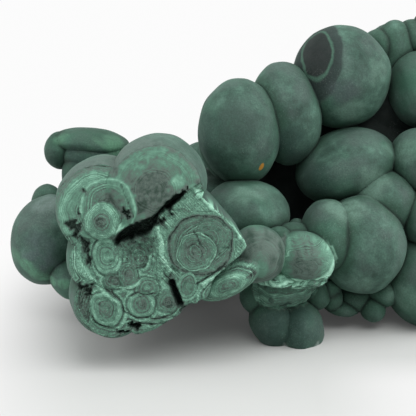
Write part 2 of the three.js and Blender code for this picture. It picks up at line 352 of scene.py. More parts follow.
def inside_trunk(x, z):
    """How deep a place on the trunk's break lies inside its outline, in mm."""
    depth = [radius - distance(x, z, centre) for centre, radius in OUTLINE]
    return np.maximum.reduce(depth + [inside_outline(x, z, SLAB)])


def inside_outline(x, z, outline):
    """Distance from a closed outline's sides, positive inside it."""
    ends = outline[1:] + outline[:1]
    away = stroke(x, z, [(px, pz, 0) for px, pz in outline + outline[:1]])
    inside = np.zeros(x.shape, bool)
    for (x0, z0), (x1, z1) in zip(outline, ends):
        crossing = (z0 > z) != (z1 > z)
        if z1 != z0:
            inside ^= crossing & (x < x0 + (z - z0) * (x1 - x0) / (z1 - z0))
    return np.where(inside, away, -away)


def blend(share, first, second):
    """First where share is 0, second where it is 1."""
    return first + share * (second - first)


def describe_trunk(x, z):
    """Height, tone, ring distance and grain over the trunk's broken end."""
    depth = inside_trunk(x, z)
    rough = wander(x, z, 1.1, 3.0)
    rougher = wander(x, z, 0.55, 8.0)
    broad = wander(x, z, 7.0, 5.0)
    patchy = wander(x, z, 2.1, 14.0)
    bent_x = x + 0.4 * wander(x, z, 3.4, 1.0) + 0.06 * rough + 0.05 * rougher
    bent_z = z + 0.4 * wander(x, z, 3.4, 2.0) + 0.06 * wander(x, z, 1.2, 9.0) - 0.05 * rougher

    # Between the rosettes the bands wrap round the nearest of them.
    shares = []
    outside = np.full_like(x, 12.0)
    for (cx, cz), stretch, lean, _, radii, _ in ROSETTES:
        turn = math.radians(lean)
        along = (bent_x - cx) * math.cos(turn) + (bent_z - cz) * math.sin(turn)
        across = (bent_z - cz) * math.cos(turn) - (bent_x - cx) * math.sin(turn)
        far = np.hypot(along / math.sqrt(stretch), across * math.sqrt(stretch))
        shares.append(far)
        outside = np.minimum(outside, far - radii[-1])
    tone = np.interp(outside, *WRAPPING) + 0.05 * broad
    ring = outside.copy()
    grain = np.full_like(x, 0.55)
    height = 0.35 * broad + 0.14 * rough + 0.05 * rougher

    # The left lobe and the crown are worn to smooth domes with broad rings.
    lobe_far = distance(bent_x, bent_z, LEFT_LOBE)
    crown_far = distance(bent_x, bent_z, CROWN)
    border = distance(x, z, CROWN) - CROWN_BORDER
    above = smooth(32.6, 34.5, z + 0.12 * (x + 26))
    lobe = above * smooth(-0.3, 0.3, border) * smooth(12.2, 11.6, lobe_far)
    low_side = (z - CREVICE_PLACE[1]) - CREVICE_SLOPE * (x - CREVICE_PLACE[0])
    crown = smooth(-0.4, 0.2, low_side) * smooth(0.2, -0.2, border)
    inner_far = distance(bent_x, bent_z, INNER_LOBE)
    inner = np.maximum(lobe, crown) * smooth(7.3, 6.9, inner_far) * smooth(0.5, 2.0, low_side)
    mottle = 0.07 * rough + 0.06 * rougher
    crown_tone = np.interp(crown_far, *CROWN_RINGS) + 0.06 * patchy + 0.04 * broad
    for centre, radius, pale in CROWN_PATCHES:
        near = smooth(radius, 0.3 * radius, distance(x, z, centre) + 0.7 * patchy)
        crown_tone = blend(0.8 * near, crown_tone, pale)
    tone = blend(lobe, tone, np.interp(lobe_far, *LOBE_RINGS) + 0.06 * patchy + 0.5 * mottle)
    tone = blend(crown, tone, crown_tone + mottle)
    tone = blend(inner, tone, np.interp(inner_far, *INNER_RINGS) + 0.05 * patchy + mottle)
    for share, far in ((lobe, lobe_far), (crown, crown_far), (inner, inner_far)):
        ring = np.where(share > 0.5, far, ring)
    worn = np.maximum(lobe, crown)
    dome = LOBE_DOME[0] * (1 - (lobe_far / LOBE_DOME[1]) ** 2) * lobe
    dome = dome + CROWN_DOME[0] * (1 - (crown_far / CROWN_DOME[1]) ** 2) * crown
    height = height * (1 - 0.8 * worn) + dome
    height += 0.35 * inner
    grain *= 1 - 0.6 * lobe
    grain *= 1 - 0.85 * crown

    # The slab is pale and fibrous outside its eye, and its upper right side is a bright bevel.
    slab = smooth(-0.2, 0.3, inside_outline(x, z, SLAB)) * smooth(0.2, -0.4, low_side)
    slab *= smooth(-13.4, -12.0, x) * smooth(-1.5, 0.0, z - 25.1 - 0.6 * x)
    side = (z - SLAB_CORNER[1]) * SLAB_SIDE[1] + (x - SLAB_CORNER[0]) * SLAB_SIDE[0]
    side = side / math.hypot(*SLAB_SIDE)  # 0 on that side, negative inside it
    strip = slab * smooth(-3.0, -1.8, side + 0.5 * rough)
    tone = blend(slab, tone, 0.5 + 0.12 * patchy + 0.08 * rougher)
    tone = blend(strip, tone, 0.8 + 0.08 * patchy + 0.08 * rough)
    grain = blend(strip, grain, 0.15)
    ring = np.where(slab > 0.5, side, ring)
    height -= 1.5 * slab * smooth(-2.6, 0.6, side)

    contrast = np.clip(0.8 + 0.45 * patchy + 0.45 * rough, 0.1, 1.3)
    for far, (_, _, _, proud, radii, tones) in zip(shares, ROSETTES):
        outer = radii[-1]
        weight = smooth(outer + 0.12, outer - 0.12, far)
        rosette_tone = blend(contrast, 0.4, np.interp(far, radii, tones))
        tone = blend(weight, tone, rosette_tone)
        ring = np.where(weight > 0.5, far, ring)
        grain = blend(weight, grain, 0.34)
        height = height + weight * proud * (1 + 0.25 * np.cos(far / outer * math.pi))
        groove = min(1, 0.3 + 3 * abs(proud)) * np.exp(-(((far - outer) / 0.22) ** 2))
        height -= 0.14 * groove
        tone *= 1 - 0.3 * groove * np.clip(0.7 + patchy, 0, 1)

    for proud, pale, points in SEAMS:
        near = smooth(0.25, -0.2, stroke(bent_x, bent_z, points))
        tone = blend(near, tone, pale + 0.1 * rougher)
        height = height + near * proud

    # A darker shell runs round under the heel.
    heel_far = distance(bent_x, bent_z, HEEL)
    low = smooth(19.0, 15.0, z + 0.3 * x + 8.0)
    shell = smooth(7.7, 8.2, heel_far) * low
    tone = blend(0.85 * shell, tone, 0.37 + 0.07 * patchy + 0.06 * rough)
    tone *= 1 - 0.6 * np.exp(-(((heel_far - 7.9) / 0.16) ** 2)) * low

    # The domes' old skin is left as a grey rim round the break.
    domes = smooth(1.0, -1.0, x) * smooth(14.0, 20.0, z) * (1 - slab)
    rim = smooth(1.4, 0.7, depth + 0.2 * rough) * domes
    tone = blend(0.8 * rim, tone, 0.27 + 0.04 * rough)

    # Granular, half-dissolved ground between the crevice and the rosettes.
    ragged = np.maximum.reduce([
        smooth(6.4, 3.0, np.hypot((x + 17.7) / 1.25, z - 31.2)),
        smooth(3.4, 1.8, np.hypot(x + 9.7, (z - 25.3) * 1.1)),
        0.8 * smooth(1.9, 0.9, distance(x, z, (-22.4, 30.4))),
        0.9 * smooth(2.2, 1.0, stroke(x, z, [(-12.9, 37.9, 0), (-8.3, 41.3, 0)])),
    ])
    hollow = smooth(4.6, 2.0, np.hypot((x + 17.9) / 1.3, z - 32.1))
    height += ragged * (0.2 * rougher + 0.25 * rough - 0.2) - 1.6 * hollow
    tone += ragged * (0.12 * rougher + 0.12 * rough)
    tone = blend(hollow, tone, 0.31 + 0.1 * patchy + 0.08 * rough)
    grain = np.maximum(grain, 0.6 * ragged)

    # Small chips have broken out of everything but the worn domes.
    chip = smooth(0.42, 0.5, wander(bent_x, bent_z, 1.4, 31.0)) * (1 - worn)
    height -= 0.22 * chip
    tone += 0.1 * chip * patchy

    for deep, points in PITS:
        torn = CLEAN if points is SLOT else RAGGED
        torn_x = x + torn * (0.35 * rougher + 0.35 * rough)
        torn_z = z + torn * (0.5 * rough + 0.2 * rougher)
        edge = stroke(torn_x, torn_z, points) + 0.3 * torn * patchy
        wall = smooth(0.28, -0.28, edge)
        height = height - wall * (deep + 0.4 * rough)
        # painted shade round each pit's mouth
        shaded = 0.3 * smooth(0.8, 0.0, edge) * (1 - wall)
        tone = blend(wall, tone, 0.1 + 0.07 * rougher) * (1 - shaded)
    for dark, points in CRACKS:
        line = smooth(0.2, -0.04, stroke(bent_x, bent_z, points))
        height = height - 0.4 * line
        tone = tone * (1 - dark * line)
    height -= 1.1 * smooth(1.5, -0.2, depth)  # the rim is worn round
    return {"height": height, "tone": np.clip(tone, 0, 1), "ring": ring, "grain": grain}


ARM_TIP_MIDDLE, ARM_ROOT_MIDDLE = (26.0, 24.0), (13.0, 27.4)  # the middles of the arm's rings
TORN_MIDDLE, TORN_TOP = (19.5, 21.5), 21.5  # the torn bands hang round this; the level at it


def describe_arm(x, z):
    """Tone, ring distance and grain over the front of the worn arm."""
    rough = wander(x, z, 0.9, 6.0)
    patchy = wander(x, z, 2.4, 16.0)
    bent_x = x + 0.4 * wander(x, z, 3.0, 41.0) + 0.12 * rough
    bent_z = z + 0.4 * wander(x, z, 3.0, 42.0)
    across, up = bent_x - ARM_TIP_MIDDLE[0], bent_z - ARM_TIP_MIDDLE[1]
    far = np.hypot(across / 1.25, up)
    root = distance(bent_x, bent_z, ARM_ROOT_MIDDLE)
    tip = smooth(0.6, -0.6, far - root + 0.4)
    tone = np.interp(
        far,
        (0, 1.2, 2.0, 3.0, 4.2, 5.2, 6.0, 6.6, 7.2),
        (.2, .24, .27, .26, .28, .33, .42, .38, .48))
    streaks = wander(4 * np.arctan2(up, across), 0.25 * far, 0.8, 45.0)
    tone += 0.07 * streaks + 0.16 * smooth(22.5, 19.0, x) + 0.24 * smooth(27.5, 31.5, x)
    root_tone = np.interp(
        root,
        (0, 1.6, 2.6, 3.6, 4.4, 5.4, 6.4, 7.4),
        (.48, .44, .34, .3, .36, .31, .38, .32))
    tone = blend(tip, root_tone - 0.09, tone) + 0.07 * patchy - 0.02 + 0.05 * rough
    spot = smooth(2.4, 1.0, distance(x, z, (15.6, 30.0)) + 0.5 * patchy)
    tone = blend(0.8 * spot, tone, 0.27)
    smooth_patch = smooth(2.8, 1.2, np.hypot(x - 13.4, (z - 25.0) * 1.1) + 0.6 * patchy)
    tone = blend(0.7 * smooth_patch, tone, 0.5)
    # a pale rim along the lower edge; its run up the right side is painted light
    lower_rim = stroke(bent_x, bent_z, [
        (17.6, 20.8, .1), (22.0, 19.8, .4), (27.6, 19.4, .6), (31.8, 21.4, .6), (33.4, 24.6, .5),
        (32.6, 27.6, .3)])
    tone = blend(smooth(0.5, -0.1, lower_rim), tone, 0.86)
    crease = stroke(bent_x, bent_z, [(18.2, 30.4, .05), (18.4, 26.4, .25), (18.2, 22.8, .15)])
    tone = tone * (1 - 0.5 * smooth(0.6, 0.0, crease))
    strands = np.hypot(across / 1.8, up) + 0.8 * wander(x / 2.2, z, 1.6, 19.0)
    return {"tone": np.clip(tone, 0, 1), "ring": np.where(tip > 0.5, strands, root),
            "grain": blend(tip, 0.1, 0.18)}


def describe_torn(x, z):
    """Tone, ring distance and grain over the torn ledges and the shell under the arm."""
    rough = wander(x, z, 0.9, 6.0)
    level = TORN_TOP - np.hypot((x - TORN_MIDDLE[0]) / 1.5, z - TORN_MIDDLE[1])
    level = level + 0.6 * wander(x, z, 3.5, 17.0) + 0.15 * rough
    tone = np.interp(
        level,
        (8, 10.4, 11.2, 11.8, 13.4, 14.2, 14.8, 16.4, 17.0, 17.6, 18.1, 18.8, 19.3, 20.0, 20.6),
        (.22, .32, .52, .3, .28, .58, .3, .34, .72, .36, .8, .55, .84, .44, .7))
    lip = [(17, 13.4, .3), (12.6, 12.8, .6), (12.2, 10.2, .7), (15.6, 8.0, .4)]
    tone = blend(smooth(0.7, -0.2, stroke(x + 0.4 * rough, z, lip)), tone, 0.6)
    tone = np.clip(tone + 0.05 + 0.08 * rough, 0, 1)
    return {"tone": tone, "ring": level, "grain": np.full_like(x, 0.3)}


# A place on the break, its lean in degrees, half its width and height, and its fineness in mm.
TRUNK_BREAK = Break((-13, -27, 32), 10, (29.5, 28.5), 0.3, describe_trunk)
ON_BREAK = 0.03  # mm from the described surface within which a vertex is on it
# Worn or torn nodules whose fronts show their rings: the nodule, what describes it, and how much of
# the skin it replaces.
WORN = [(BRIDGE, describe_trunk, 1.0), (ARM_ROOT, describe_arm, 0.85), (ARM_TIP, describe_arm, 0.85)]
WORN += [(nodule, describe_torn, 0.9) for nodule in LEDGES] + [(SHELL, describe_torn, 0.6)]
# Shares of a nodule's half size within which a vertex is on it.
ON_NODULE, ON_MIDDLE = 0.09, 0.05


# ---- The stone's mesh --------------------------------------------------------------------------

def place_in_scene(thing):
    """Links an object to the scene."""
    bpy.context.scene.collection.objects.link(thing)


def object_of(bm, name):
    """An object with this bmesh as its mesh, outside the scene."""
    mesh = bpy.data.meshes.new(name)
    bm.to_mesh(mesh)
    bm.free()
    return bpy.data.objects.new(name, mesh)


def placing(nodule):
    """The matrix that makes a unit sphere this nodule: stretched, tilted and set in place."""
    centre, half = nodule[:2]
    tilt = nodule[2] if len(nodule) > 2 else 0
    tilted = Euler((0, math.radians(tilt), 0)).to_matrix().to_4x4()
    return Matrix.Translation(centre) @ tilted @ Matrix.Diagonal((*half, 1))


def grow(nodule):
    """A lumpy nodule."""
    centre, half = nodule[:2]
    bm = bmesh.new()
    fine = nodule in TORN or max(half) > SMALL_NODULE and nodule not in RIGHT + BACK
    bmesh.ops.create_icosphere(bm, subdivisions=FINE_SPHERE if fine else COARSE_SPHERE, radius=1.0)
    shift = LUMP_STEP * Vector(centre)
    lumps = LUMPS
    for group, others in ((TORN, TORN_LUMPS), (FOOT, FOOT_LUMPS), (MIDDLE, MIDDLE_LUMPS)):
        if nodule in group:
            lumps = others
    for vertex in bm.verts:
        vertex.co *= 1 + sum(high * noise.noise(vertex.co * many + shift) for many, high in lumps)
    bmesh.ops.transform(bm, matrix=placing(nodule), verts=bm.verts)
    return object_of(bm, "nodule")


def slab_body():
    """The slab between the trunk's lobes: its rounded outline, extruded back and tapered."""
    bm = bmesh.new()
    corners = [Vector((x, SLAB_FRONT, z)) for x, z in SLAB]
    outline = []
    for index, corner in enumerate(corners):
        before, after = corners[index - 1], corners[(index + 1) % len(corners)]
        beyond = corners[(index + 2) % len(corners)]
        for step in range(4):
            outline.append(curve_point(before, corner, after, beyond, step / 4))
    face = bm.faces.new([bm.verts.new(point) for point in outline])
    back = bmesh.ops.extrude_face_region(bm, geom=[face], use_keep_orig=True)
    back = made(back, bmesh.types.BMVert)
    middle = sum((vertex.co for vertex in back), Vector()) / len(back)
    bmesh.ops.scale(bm, vec=(SLAB_TAPER,) * 3, space=Matrix.Translation(-middle), verts=back)
    bmesh.ops.translate(bm, vec=(0, SLAB_BACK - SLAB_FRONT, 0), verts=back)
    bmesh.ops.recalc_face_normals(bm, faces=bm.faces[:])
    return object_of(bm, "slab")


def curve_point(before, start, end, beyond, share):
    """A point between start and end on a smooth curve that also passes before and beyond."""
    square, cube = share**2, share**3
    return (
        before * (-share + 2 * square - cube)
        + start * (2 - 5 * square + 3 * cube)
        + end * (share + 4 * square - 3 * cube)
        + beyond * (cube - square)
    ) / 2


def combine(first, others, operation):
    """The union of first and others, or first with the others cut away, as an object."""
    group = bpy.data.collections.new(operation)
    for other in others:
        group.objects.link(other)
    place_in_scene(first)
    change = first.modifiers.new(operation, "BOOLEAN")
    change.operation = operation
    change.operand_type = "COLLECTION"
    change.collection = group
    change.solver = "MANIFOLD"
    graph = bpy.context.evaluated_depsgraph_get()
    mesh = bpy.data.meshes.new_from_object(first.evaluated_get(graph))
    for used in [first, *others]:
        bpy.data.objects.remove(used)
    bpy.data.collections.remove(group)
    return bpy.data.objects.new("stone", mesh)


def floor_block():
    """The block under the floor, which wears the lowest nodules flat."""
    bm = bmesh.new()
    bmesh.ops.create_cube(bm, size=6 * REACH, matrix=Matrix.Translation((0, 0, -3 * REACH)))
    return object_of(bm, "floor_block")


def stone_mesh():
    """The whole stone, in growth millimetres."""
    trunk = [grow(nodule) for nodule in TRUNK]
    trunk = combine(trunk[0], trunk[1:] + [slab_body()], "UNION")
    trunk = combine(trunk, [object_of(TRUNK_BREAK.cutter(), "trunk_break")], "DIFFERENCE")
    stone = combine(trunk, [grow(nodule) for nodule in OUTER + MIDDLE], "UNION")
    return combine(stone, [floor_block()], "DIFFERENCE")


def places_of(mesh):
    """A mesh's vertices as an array."""
    flat = np.empty(len(mesh.vertices) * 3)
    mesh.vertices.foreach_get("co", flat)
    return flat.reshape(-1, 3)


def keep_values(mesh, name, values, kind="FLOAT", entry="value"):
    """Stores a number or a color for each vertex, for the material to read."""
    layer = mesh.attributes.new(name, kind, "POINT")
    layer.data.foreach_set(entry, np.ascontiguousarray(values, dtype=np.float32).ravel())


def levels(places, nodule):
    """Where places lie in a nodule: 0 at its centre, 1 on its surface."""
    back = np.array(placing(nodule).inverted())
    return np.linalg.norm(places @ back[:3, :3].T + back[:3, 3], axis=1)


def gaps(places):
    """Distance in mm from each place to the nearest nodule that it isn't on, up to GAP_LIMIT."""
    first = np.full(len(places), GAP_LIMIT)
    second = np.full(len(places), GAP_LIMIT)
    for nodule in TRUNK + OUTER:
        away = (levels(places, nodule) - 1) * sum(nodule[1]) / 3
        second = np.minimum(second, np.maximum(first, away))
        first = np.minimum(first, away)
    return np.clip(second, 0, GAP_LIMIT)


GAP_LIMIT = 6.0  # mm
BREAK_LOW, BREAK_HIGH = -10, 5  # the break's heights lie between these, in mm
SHARP_FROM = math.radians(50)  # edges that bend by more than this stay sharp
# the band green is the bulb's own colour; the light green is painted light
BAND_GREEN, PAINTED_LIGHT_GREEN = (0.095, 0.235, 0.15), (0.11, 0.2, 0.155)
SHADY_GREEN, SCAR_DARK = (0.024, 0.054, 0.044), (0.01, 0.015, 0.014)
GLINT = (0.5, 0.58, 0.54)
PATCH_EDGE = 1.5  # how far a patch's edge wanders in mm
# Places where the skin has another colour, among them painted light and painted shade: centre in
# growth mm, radius in mm, color and share.
PATCHES = [
    ((-47, 2, 20), 9.0, (0.072, 0.104, 0.104), 0.8),  # slate blue on the left bulb
    *((place, radius, BAND_GREEN, 0.8) for place, radius in (  # bright band under it
        ((-50.6, 6.4, 16.7), 2.7), ((-48.5, 6.4, 14.6), 2.7), ((-46.2, 6.8, 12.9), 3.0),
        ((-43.2, 5.4, 12.2), 2.7), ((-40.1, 2.6, 12.1), 2.7))),
    # painted sheen on the bulb's left edge
    ((-54, 9, 20), 3.4, (0.075, 0.17, 0.11), 0.7),
    ((-27, 28, 48), 6.0, (0.075, 0.19, 0.115), 0.75),  # top of the cap, and the dark under it
    ((-43, 29, 48.4), 3.5, (0.07, 0.175, 0.11), 0.7),
    # painted shade under the cap
    ((-44.5, 28, 42.5), 5.0, (0.016, 0.04, 0.03), 0.8),
    ((-38.5, 26, 43.5), 5.5, SHADY_GREEN, 0.85),
    ((-31, 24, 42), 5.5, SHADY_GREEN, 0.85),
    ((-41.5, 30, 38), 5.0, SHADY_GREEN, 0.7),
    ((7, 1, 58), 10.0, (0.042, 0.07, 0.06), 0.75),
    ((-1, 8, 54), 9.0, SHADY_GREEN, 0.7),  # shaded sides of the high nodules
    ((22.5, 10, 50.5), 6.5, SHADY_GREEN, 0.8),
    ((31, 8, 41.5), 6.5, SHADY_GREEN, 0.7),
    # painted light on the tops under the high nodules
    ((36, -2, 36.5), 8.0, PAINTED_LIGHT_GREEN, 0.85),  # lighter tops under them
    ((15, 0.5, 41.5), 5.0, PAINTED_LIGHT_GREEN, 0.6),
    ((44.6, 4.9, 41), 5.5, PAINTED_LIGHT_GREEN, 0.6),
    ((53.5, 11, 49), 6.0, PAINTED_LIGHT_GREEN, 0.6),
    ((10, -2, 40.5), 5.5, PAINTED_LIGHT_GREEN, 0.8),
    # painted light on the left bulb's top
    ((-45.5, 12.5, 33.4), 5.5, (0.11, 0.155, 0.14), 0.75),
    # painted shade on the foot under the arm
    ((21, -11, 5), 11.0, SHADY_GREEN, 0.9),
    ((37.7, 14.4, 63.2), 6.0, (0.062, 0.086, 0.086), 0.6),  # slate blue beside the scar
    ((26.4, 23.0, 75.2), 2.8, SCAR_DARK, 0.95),  # the scar runs out at the nodule's edge
    ((28.2, 25.0, 77.8), 2.8, SCAR_DARK, 0.95),
    ((31.0, 26.5, 79.4), 2.4, SCAR_DARK, 0.9),
    # painted light on sides low on the heap and on the lowest nodules at the right
    ((47, 17.8, 69.7), 5.0, PAINTED_LIGHT_GREEN, 0.45),  # lighter sides low on the heap
    ((39.8, 17, 58.5), 5.5, PAINTED_LIGHT_GREEN, 0.75),
    ((39.8, 18.5, 52.2), 4.0, SHADY_GREEN, 0.55),
    ((40.6, -7.4, 15.6), 5.5, PAINTED_LIGHT_GREEN, 0.45),
    ((53.6, -2.8, 9.8), 6.0, PAINTED_LIGHT_GREEN, 0.6),
    ((25.6, 13.6, 46.6), 5.0, SHADY_GREEN, 0.6),
    ((19.5, -12.6, 0.0), 1.0, GLINT, 0.6),  # where the foot is chipped
    ((29.6, -11.0, 0.0), 1.0, GLINT, 0.5),
    ((12, -12, 34), 3.5, (0.07, 0.2, 0.12), 0.5),
    ((8, 60, 12), 9.0, (0.07, 0.165, 0.105), 0.7),  # brighter and bluer places round the back
    ((44, 70, 40), 10.0, (0.062, 0.094, 0.096), 0.75),
    ((70, 66, 14), 8.0, (0.03, 0.075, 0.052), 0.7),
    ((-18, 46, 34), 7.0, (0.08, 0.19, 0.125), 0.6),
    ((96, 32, 16), 8.5, (0.066, 0.1, 0.1), 0.7),
    ((78, 52, 76), 9.0, (0.072, 0.17, 0.112), 0.6),
    ((92, 44, 46), 7.0, (0.03, 0.08, 0.054), 0.7),
    ((30, 54, 62), 8.0, (0.075, 0.18, 0.118), 0.6),
    ((-50, 22, 10), 7.0, (0.07, 0.17, 0.11), 0.6),
    ((-20, -20, 47), 20.0, (0.1, 0.136, 0.12), 0.75),  # greyer rims round the break
]


def mark_growth(mesh):
    """Stores where the stone is broken, how its rings run there, and how its skin changes."""
    places = places_of(mesh)
    marks = {name: np.zeros(len(places)) for name in ("broken", "tone", "ring", "grain")}

    def mark(chosen, found, share):
        for name in ("tone", "ring", "grain"):
            marks[name][chosen] = found[name]
        marks["broken"][chosen] = share

    for nodule, describe, share in WORN:
        chosen = np.flatnonzero(np.abs(levels(places, nodule) - 1) < ON_NODULE)
        front = smooth(nodule[0][1] + 2, nodule[0][1] - 3, places[chosen, 1])
        mark(chosen, describe(places[chosen, 0], places[chosen, 2]), share * front)
    x, z, height = TRUNK_BREAK.coordinates(places)
    chosen = np.flatnonzero(
        (np.abs(x - TRUNK_BREAK.point[0]) < TRUNK_BREAK.half[0])
        & (np.abs(z - TRUNK_BREAK.point[2]) < TRUNK_BREAK.half[1])
        & (height > BREAK_LOW) & (height < BREAK_HIGH))
    found = describe_trunk(x[chosen], z[chosen])
    on = np.abs(found["height"] - height[chosen]) < ON_BREAK
    mark(chosen[on], {name: values[on] for name, values in found.items()}, 1)

    marks["gap"] = gaps(places)
    marks["deep"] = np.zeros(len(places))
    # painted shade: the masses that the nodules grew on are painted near black where they show
    for nodule in MIDDLE:
        share = 1.0 if nodule[0][0] > 0 else 0.45  # less dark on the left
        marks["deep"][np.abs(levels(places, nodule) - 1) < ON_MIDDLE] = share
    marks["scarred"] = smooth(1.06, 1.03, levels(places, SCARRED))
    for name, values in marks.items():
        keep_values(mesh, name, values)

    patch = np.zeros((len(places), 4))
    edge = PATCH_EDGE * wander(places[:, 0] + places[:, 1], places[:, 2], 4.0, 50.0)
    for centre, radius, color, share in PATCHES:
        far = np.linalg.norm(places - centre, axis=1) + edge
        weight = share * smooth(radius, 0.4 * radius, far)
        covered = np.maximum(weight, patch[:, 3])
        patch[:, :3] = blend((weight / covered.clip(1e-6))[:, None], patch[:, :3], color)
        patch[:, 3] = covered
    keep_values(mesh, "patch", patch, "FLOAT_COLOR", "color")


def make_stone(base):
    """The finished piece, in metres where the node stands."""
    stone = stone_mesh()
    stone.name = "malachite_stone"
    mesh = stone.data
    mesh.name = stone.name
    mark_growth(mesh)
    to_metres = Matrix.Translation(base) @ Matrix.Scale(MM, 4)
    mesh.transform(to_metres @ Matrix.Translation(-GROWTH_MIDDLE))
    mesh.shade_smooth()
    mesh.set_sharp_from_angle(angle=SHARP_FROM)
    place_in_scene(stone)
    return stone


# ---- Malachite ---------------------------------------------------------------------------------

# Skin colours: painted shade, near black deep between nodules and deep green beside a nodule's
# neighbours, and the clouds on its middle.
PAINTED_SHADE_BLACK = (0.008, 0.012, 0.011)
PAINTED_CREASE_SHADE = (0.02, 0.062, 0.038)
SKIN_CLOUDS = [
    (0.34, (0.022, 0.052, 0.039)), (0.5, (0.047, 0.101, 0.076)), (0.66, (0.088, 0.178, 0.136)),
]
SKIN_GREY, SKIN_GREEN = (0.068, 0.096, 0.088), (0.042, 0.12, 0.08)
# Broken colours by tone, from the dark lines to the palest mint.
BROKEN_TONES = [
    (0.00, (0.006, 0.013, 0.01)), (0.14, (0.034, 0.064, 0.048)), (0.26, (0.088, 0.122, 0.105)),
    (0.38, (0.084, 0.184, 0.132)), (0.54, (0.135, 0.29, 0.21)), (0.74, (0.255, 0.5, 0.37)),
    (1.00, (0.48, 0.8, 0.64)),
]
# The dark scar on the high nodule: its centre, its stretch, and its colours by distance in mm.
SCAR_CENTRE, SCAR_STRETCH, SCAR_REACH = Vector((30.2, 20.4, 74.4)), (1.3, 0.7, 0.7), 10.0
SCAR_RINGS = [
    (0.0, (0.008, 0.011, 0.011)), (5.0, (0.01, 0.015, 0.014)), (5.5, (0.048, 0.11, 0.078)),
    (5.9, (0.038, 0.086, 0.062)), (6.3, (0.016, 0.027, 0.025)), (9.0, (0.024, 0.04, 0.036)),
    (9.9, (0.06, 0.106, 0.086)),
]
STAIN_CENTRE, STAIN_STRETCH = Vector((14.5, 5.0, 45.0)), (1.0, 1.0, 0.5)
STAIN_COLOR = (0.42, 0.2, 0.025)


class Nodes:
    """A node tree, with short ways to add and wire its nodes."""

    def __init__(self, tree):
        self.tree = tree
        tree.nodes.clear()

    def add(self, kind, inputs=(), **settings):
        """A node with these settings; inputs are (socket, value or the output that feeds it)."""
        node = self.tree.nodes.new("ShaderNode" + kind)
        for name, value in settings.items():
            setattr(node, name, value)
        for name, value in dict(inputs).items():
            if isinstance(value, bpy.types.NodeSocket):
                self.tree.links.new(value, node.inputs[name])
            else:
                node.inputs[name].default_value = value
        return node

    def math(self, operation, first, second):
        return self.add("Math", {0: first, 1: second}, operation=operation).outputs[0]

    def noise(self, places, size, detail=2.0, roughness=0.5):
        """Noise around 0.5 with features of this size in mm."""
        inputs = {"Vector": places, "Scale": 1 / size, "Detail": detail, "Roughness": roughness}
        return self.add("TexNoise", inputs).outputs["Fac"]

    def line_noise(self, along, size, detail=2.0):
        """Noise around 0.5 that changes only along a value."""
        inputs = {"W": along, "Scale": 1 / size, "Detail": detail}
        return self.add("TexNoise", inputs, noise_dimensions="1D").outputs["Fac"]

    def ramp(self, value, stops):
        node = self.add("ValToRGB", {"Fac": value})
        elements = node.color_ramp.elements
        while len(elements) < len(stops):
            elements.new(0.5)
        for element, (position, color) in zip(elements, stops):
            element.position = position
            element.color = (*color, 1)
        return node.outputs["Color"]

    def mix(self, share, first, second, blend="MIX"):
        inputs = {0: share}
        for socket, color in ((6, first), (7, second)):
            inputs[socket] = color if isinstance(color, bpy.types.NodeSocket) else (*color, 1)
        return self.add("Mix", inputs, data_type="RGBA", blend_type=blend).outputs[2]

    def stored(self, name, output="Fac"):
        return self.add("Attribute", attribute_name=name).outputs[output]

    def vector(self, operation, first, second=(0, 0, 0)):
        return self.add("VectorMath", {0: first, 1: second}, operation=operation).outputs[0]

    def away(self, places, centre, stretch=(1, 1, 1)):
        """Distance of places from a centre, in a space that is stretched along its axes."""
        offset = self.vector("MULTIPLY", self.vector("SUBTRACT", places, centre), stretch)
        return self.add("VectorMath", {0: offset}, operation="LENGTH").outputs["Value"]

    def times(self, first, second):
        return self.math("MULTIPLY", first, second)

    def plus(self, first, second):
        return self.math("ADD", first, second)

    def between(self, value, low, high, to_low=0.0, to_high=1.0):
        inputs = {"Value": value, "From Min": low, "From Max": high, "To Min": to_low, "To Max": to_high}
        return self.add("MapRange", inputs, interpolation_type="SMOOTHSTEP").outputs[0]


def empty_material(name):
    """A material, and its nodes to add to."""
    material = bpy.data.materials.new(name)
    material.use_nodes = True
    return material, Nodes(material.node_tree)


def growth_places(nodes, base):
    """Object coordinates turned back into growth millimetres."""
    start = GROWTH_MIDDLE - base / MM
    inputs = {"Vector": nodes.add("TexCoord").outputs["Object"], "Location": start,
              "Scale": (1 / MM,) * 3}
    return nodes.add("Mapping", inputs).outputs["Vector"]


